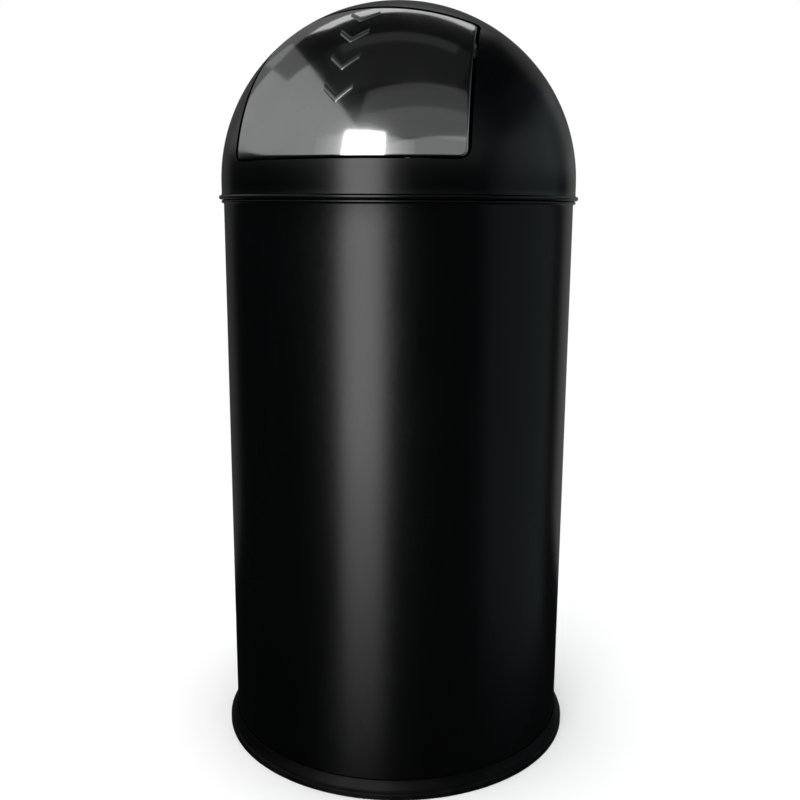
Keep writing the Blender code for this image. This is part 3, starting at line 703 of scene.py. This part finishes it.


# ---- Return springs --------------------------------------------------------------------
# Two torsion springs of hard-drawn wire on the rod. One leg bears on the dome and the other
# on the flap, so that a pushed flap swings shut by itself.
rod_low, rod_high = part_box("hinge_rod")
HINGE_FRONT = -(rod_low.y + rod_high.y) / 2
HINGE_LEVEL = (rod_low.z + rod_high.z) / 2
COIL = 0.006
COIL_PITCH = 0.0026
COIL_START = 0.077
COIL_TURNS = 4
COIL_STEPS = 148
COIL_WIRE = 0.00075
LID_LEG_LENGTH = 0.027
FLAP_LEG_LENGTH = 0.026
lid_leg = radians(-30)
flap_leg = radians(130)
sweep = 2 * pi * COIL_TURNS + flap_leg - lid_leg
coil_end = COIL_START + COIL_PITCH * sweep / (2 * pi)
for side, sign in (("left", -1), ("right", 1)):
    path = []
    for i in range(COIL_STEPS + 1):
        angle = lid_leg + sweep * i / COIL_STEPS
        path.append(Vector((sign * (COIL_START + (coil_end - COIL_START) * i / COIL_STEPS),
                            COIL * cos(angle) - HINGE_FRONT, HINGE_LEVEL + COIL * sin(angle))))
    path.insert(0, path[0] - Vector((0.0, sin(lid_leg), -cos(lid_leg))) * LID_LEG_LENGTH)
    path.append(path[-1] + Vector((0.0, -sin(flap_leg), cos(flap_leg))) * FLAP_LEG_LENGTH)
    name = f"torsion_spring_{side}"
    spring = show(name, tube_mesh(name, path, COIL_WIRE, 3), spring_wire, None, "spring_steel",
                  f"return_spring_{side}")
    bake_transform(spring)


# ---- Flap ------------------------------------------------------------------------------
# A panel of stainless sheet pressed to the dome's curve and polished. Its edges are rolled
# over and turned in, which stiffens it. Two lugs, two stop tabs and their pads sit behind it.
def polished(name):
    """Polished stainless steel: faint upright polishing lines, and a haze where hands push."""
    bright = Finish(name, Metallic=1.0)
    lines = bright.spots(1500.0, 2.0, 0.5, (1.0, 0.04, 0.04))
    smears = bright.spots(16.0, 5.0, 0.6).between(0.35, 0.75)
    tone = (lines * 0.4 + smears * 0.6).tint((0.66, 0.665, 0.665), (0.59, 0.595, 0.595))
    bright.feed(Base_Color=tone, Roughness=lines * 0.04 + smears * 0.05 + 0.06)
    bright.bump(lines, 0.000003, 0.4)
    veil = bright.start.node("ShaderNodeBsdfPrincipled", None, {
        "Base Color": tone, "Metallic": 1.0, "Roughness": smears * 0.08 + 0.26})
    bright.under(smears * 0.08 + 0.09, veil)
    return bright


steel = polished("polished_stainless")
EDGE_WIDTH = 0.0036
LOW_EDGE_WIDTH = 0.0015
EDGE_DROP = 0.0015
EDGE_DEPTH = 0.0070
FLAP_SHEET = 0.001


def flap_point(across, up, grow, low_grow):
    """A point on the dome's face and its outward direction. Across is -1 to 1, and up is 0 to 1."""
    half = FLAP_SIDE + grow / cos(atan(FLAP_SPREAD))
    low = FLAP_BOTTOM - low_grow - DOME_SPRING
    high = FLAP_TOP - FLAP_TOP_SLOPE * FLAP_TOP_FRONT - DOME_SPRING + grow / cos(atan(FLAP_TOP_SLOPE))
    x_base, x_slope = across * half, across * FLAP_SPREAD
    z_base, z_slope = (1 - up) * low + up * high, up * FLAP_TOP_SLOPE
    squash = (DOME_RADIUS / dome_rise) ** 2
    a = x_slope ** 2 + 1 + squash * z_slope ** 2
    b = 2 * (x_base * x_slope + squash * z_base * z_slope)
    c = x_base ** 2 + squash * z_base ** 2 - DOME_RADIUS ** 2
    front = (-b + sqrt(b * b - 4 * a * c)) / (2 * a)
    point = Vector((x_base + x_slope * front, -front, DOME_SPRING + z_base + z_slope * front))
    normal = Vector((point.x, point.y, squash * (point.z - DOME_SPRING))).normalized()
    return point, normal


LOW_ROUND = (0.046, 0.058)
HIGH_ROUND = (0.020, 0.030)


def rounded(across, up):
    """Pull a point of the unit square in, so that the square's corners become round."""
    reach = max(abs(across), abs(up), 1e-9)
    edge_x, edge_y = abs(across) / reach, abs(up) / reach
    corner = LOW_ROUND if up < 0 else HIGH_ROUND
    x_start, y_start = 1 - corner[0], 1 - corner[1]
    if edge_x > x_start and edge_y > y_start:
        along = (edge_y - y_start) / corner[1] + (1 - edge_x) / corner[0]
        angle = pi / 4 * along
        pulled = (x_start + corner[0] * cos(angle), y_start + corner[1] * sin(angle))
        weight = reach ** 6
        scale_x = 1 + (pulled[0] / edge_x - 1) * weight
        scale_y = 1 + (pulled[1] / edge_y - 1) * weight
        return across * scale_x, up * scale_y
    return across, up


def crowded(share):
    """Spread grid lines so that they crowd towards both edges."""
    return sin(share * pi / 2) * 0.45 + share * 0.55


ACROSS = 120
UP = 96


def flap_grid(bm, grow, low_grow):
    """Lay the flap's face as a grid, and return the vertices round its edge, with normals."""
    rows = []
    for j in range(UP + 1):
        row = []
        for i in range(ACROSS + 1):
            across, up = rounded(crowded(2 * i / ACROSS - 1), crowded(2 * j / UP - 1))
            point, normal = flap_point(across, (up + 1) / 2, grow, low_grow)
            row.append((bm.verts.new(point), normal))
        rows.append(row)
    for low_row, high_row in zip(rows, rows[1:]):
        for i in range(ACROSS):
            bm.faces.new((low_row[i][0], low_row[i + 1][0], high_row[i + 1][0], high_row[i][0]))
    right_side = [row[-1] for row in rows[:-1]]
    left_side = [row[0] for row in rows[:0:-1]]
    return rows[0][:-1] + right_side + rows[-1][:0:-1] + left_side


flap_bm = bmesh.new()
edge_loop = flap_grid(flap_bm, -EDGE_WIDTH, -LOW_EDGE_WIDTH)
count = len(edge_loop)
last_ring = [vert for vert, _ in edge_loop]
edge_steps = []
for tilt in range(10, 91, 10):
    edge_steps.append((EDGE_WIDTH * sin(radians(tilt)), EDGE_DROP * (1 - cos(radians(tilt)))))
edge_steps += [(EDGE_WIDTH, EDGE_DEPTH - 0.0012), (EDGE_WIDTH, EDGE_DEPTH)]
edge_frames = []
for i in range(count):
    vert, normal = edge_loop[i]
    tangent = (edge_loop[(i + 1) % count][0].co - edge_loop[i - 1][0].co).normalized()
    side = tangent.cross(normal).normalized()
    share = 1 - (1 - LOW_EDGE_WIDTH / EDGE_WIDTH) * max(0.0, -side.z) ** 2
    edge_frames.append((vert.co.copy(), side * share, normal))
for out, down in edge_steps:
    ring = [flap_bm.verts.new(at + side * out - normal * down) for at, side, normal in edge_frames]
    for i in range(count):
        flap_bm.faces.new((last_ring[i - 1], ring[i - 1], ring[i], last_ring[i]))
    last_ring = ring
bmesh.ops.recalc_face_normals(flap_bm, faces=flap_bm.faces[:])
flap_mesh = bpy.data.meshes.new("flap_sheet")
flap_bm.to_mesh(flap_mesh)
flap_bm.free()
flap_blank = bpy.data.objects.new("flap_blank", flap_mesh)
scene.collection.objects.link(flap_blank)
thicken = flap_blank.modifiers.new("sheet", "SOLIDIFY")
thicken.thickness = FLAP_SHEET
thicken.offset = -1.0
thicken.use_even_offset = False
flap_final = finished_mesh(flap_blank)
smooth(flap_final, 50.0)
show("flap_sheet", flap_final, steel, "flap", "polished_stainless", "flap_panel")

for side in ("left", "right"):
    dressed[f"flap_lug_{side}"] = steel
    dressed[f"stop_tab_{side}"] = steel
for node, look in dressed.items():
    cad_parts[node].material_slots[0].material = look.material


# ---- Push marks ------------------------------------------------------------------------
# Four chevrons of etched stainless steel, fixed one above the other down the middle of the
# flap, that show where to push. They stand up a little, with rounded shoulders.
MARK_WIDTH = 0.027
MARK_STROKE = 0.0072
MARK_RISE = 0.0011
MARK_DROP = 0.013
MARK_SINK = 0.0004
MARK_LATITUDES = (56.0, 45.5, 35.0, 24.5)
MARK_COLUMNS = 24
mark_section = [
    (-0.5, -MARK_SINK), (-0.5, 0.0),
    *[(across, height * MARK_RISE) for across, height in (
        (-0.44, 0.45), (-0.34, 0.85), (-0.2, 1.0), (0.2, 1.0), (0.34, 0.85), (0.44, 0.45))],
    (0.5, 0.0), (0.5, -MARK_SINK)]
satin = Finish("satin_stainless", Metallic=1.0)
etch = satin.spots(1800.0, 3.0)
satin.feed(Base_Color=etch.tint((0.34, 0.345, 0.35), (0.50, 0.505, 0.51)),
           Roughness=etch * 0.12 + 0.30)
satin.bump(etch, 0.00002, 0.4)
mark_bm = bmesh.new()
for latitude in MARK_LATITUDES:
    columns = []
    for i in range(MARK_COLUMNS + 1):
        across = 2 * i / MARK_COLUMNS - 1
        column = []
        for offset, height in mark_section:
            run = (abs(across) - 0.5) * MARK_DROP + offset * MARK_STROKE
            angle = radians(latitude) + run / DOME_RADIUS
            x = across * MARK_WIDTH / 2
            level = DOME_SPRING + dome_rise * sin(angle)
            front = sqrt((DOME_RADIUS * cos(angle)) ** 2 - x * x)
            squash = (DOME_RADIUS / dome_rise) ** 2
            normal = Vector((x, -front, squash * (level - DOME_SPRING))).normalized()
            column.append(mark_bm.verts.new(Vector((x, -front, level)) + normal * height))
        columns.append(column)
    for left, right in zip(columns, columns[1:]):
        for k in range(len(mark_section)):
            mark_bm.faces.new((left[k - 1], left[k], right[k], right[k - 1]))
    mark_bm.faces.new(columns[0])
    mark_bm.faces.new(columns[-1])
bmesh.ops.recalc_face_normals(mark_bm, faces=mark_bm.faces[:])
mark_mesh = bpy.data.meshes.new("push_marks")
mark_bm.to_mesh(mark_mesh)
mark_bm.free()
smooth(mark_mesh, 60.0)
show("push_marks", mark_mesh, satin, "flap", "polished_stainless")
